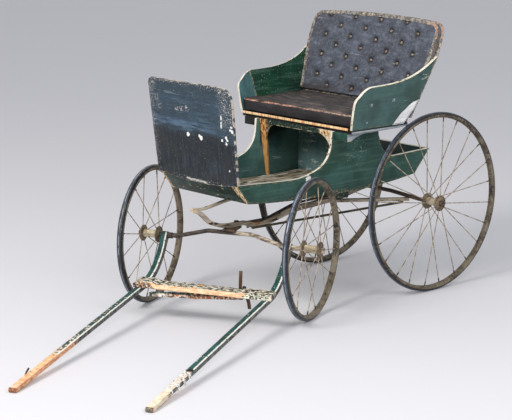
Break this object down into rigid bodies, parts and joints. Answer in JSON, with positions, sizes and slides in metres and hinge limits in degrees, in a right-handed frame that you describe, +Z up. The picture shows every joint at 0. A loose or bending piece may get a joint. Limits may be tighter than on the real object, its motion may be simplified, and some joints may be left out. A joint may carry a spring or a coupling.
{
  "type": "child's goat-drawn carriage",
  "caption": "Small four-wheeled carriage for a goat: open body with dash, flared seat with tufted back, wire-spoked wheels, steered front axle and a pair of shafts.",
  "frame": {"origin": "on the ground, under the middle of the rear axle", "axes": "+Z up, -Y towards the dash and the shafts, +X to the carriage's left"},
  "size_m": [1.0379, 2.0303, 0.9217],
  "materials": {
    "body_paint": "worn teal green paint",
    "dash_paint": "worn blue-black paint",
    "seat_board_wood": "bare worn edge",
    "bracket_paint": "faded grey-blue paint",
    "back_leather": "tufted, cracked",
    "seat_leather": "worn",
    "weathered_wood": "weathered bare wood",
    "iron": "rusty forged iron",
    "shaft_paint": "green paint with pale edges",
    "crossbar_paint": "chipped paint over bare wood",
    "upright_wood": "bare brown wood",
    "tyre": "old dark rubber",
    "rim_paint": "chipped grey-blue paint over rust",
    "spoke_wire": "rusty wire"
  },
  "bodies": {
    "carriage_body": {"side_panel_left": "body_paint", "side_panel_right": "body_paint", "bottom_board": "body_paint", "front_panel": "body_paint", "rear_board": "body_paint", "dash_board": "dash_paint", "seat_riser": "body_paint", "box_divider": "body_paint", "seat_board": "seat_board_wood", "seat_bracket_left": "bracket_paint", "seat_bracket_right": "bracket_paint", "arm_panel_left": "body_paint", "arm_panel_right": "body_paint", "back_board": "body_paint", "back_cushion": "back_leather", "seat_cushion": "seat_leather", "reach_pole": "weathered_wood", "upper_spring_slat": "weathered_wood", "king_bolt": "iron", "reach_block": "body_paint", "rear_hound_left": "weathered_wood", "rear_hound_right": "weathered_wood", "reach_rod_left": "iron", "reach_rod_right": "iron", "reach_stay": "iron", "rear_pedestal": "weathered_wood", "rear_axle": "iron"},
    "front_gear": {"front_axle": "iron", "hound_plate": "iron"},
    "shafts": {"shaft_left": "shaft_paint", "shaft_right": "shaft_paint", "crossbar": "crossbar_paint", "crossbar_upright": "upright_wood"},
    "swingletree": {"swingletree": "crossbar_paint"},
    "wheel_rear_left": {"rear_left_tyre": "tyre", "rear_left_rim": "rim_paint", "rear_left_spokes": "spoke_wire"},
    "wheel_rear_right": {"rear_right_tyre": "tyre", "rear_right_rim": "rim_paint", "rear_right_spokes": "spoke_wire"},
    "wheel_front_left": {"front_left_tyre": "tyre", "front_left_rim": "rim_paint", "front_left_spokes": "spoke_wire"},
    "wheel_front_right": {"front_right_tyre": "tyre", "front_right_rim": "rim_paint", "front_right_spokes": "spoke_wire"}
  },
  "joints": [
    {"name": "steering", "type": "hinge", "parent": "carriage_body", "child": "front_gear", "pos_m": [0, -0.642, 0.27], "axis": [0, 0, 1], "range_deg": [-50, 0]},
    {"name": "shafts_lift", "type": "hinge", "parent": "front_gear", "child": "shafts", "pos_m": [0.02113, -0.68732, 0.2286], "axis": [-0.9063, -0.4226, 0], "range_deg": [0, 45]},
    {"name": "swingletree_swing", "type": "hinge", "parent": "shafts", "child": "swingletree", "pos_m": [0.07183, -0.87201, 0.08838], "axis": [0.0693, -0.1402, 0.9877], "range_deg": [-22, 2]},
    {"name": "rear_left_spin", "type": "hinge", "parent": "carriage_body", "child": "wheel_rear_left", "pos_m": [0.271, 0, 0.305], "axis": [1, 0, 0], "continuous": true},
    {"name": "rear_right_spin", "type": "hinge", "parent": "carriage_body", "child": "wheel_rear_right", "pos_m": [-0.271, 0, 0.305], "axis": [1, 0, 0], "continuous": true},
    {"name": "front_left_spin", "type": "hinge", "parent": "front_gear", "child": "wheel_front_left", "pos_m": [0.27943, -0.56687, 0.2286], "axis": [0.9063, 0.4226, 0], "continuous": true},
    {"name": "front_right_spin", "type": "hinge", "parent": "front_gear", "child": "wheel_front_right", "pos_m": [-0.23717, -0.80776, 0.2286], "axis": [0.9063, 0.4226, 0], "continuous": true}
  ]
}
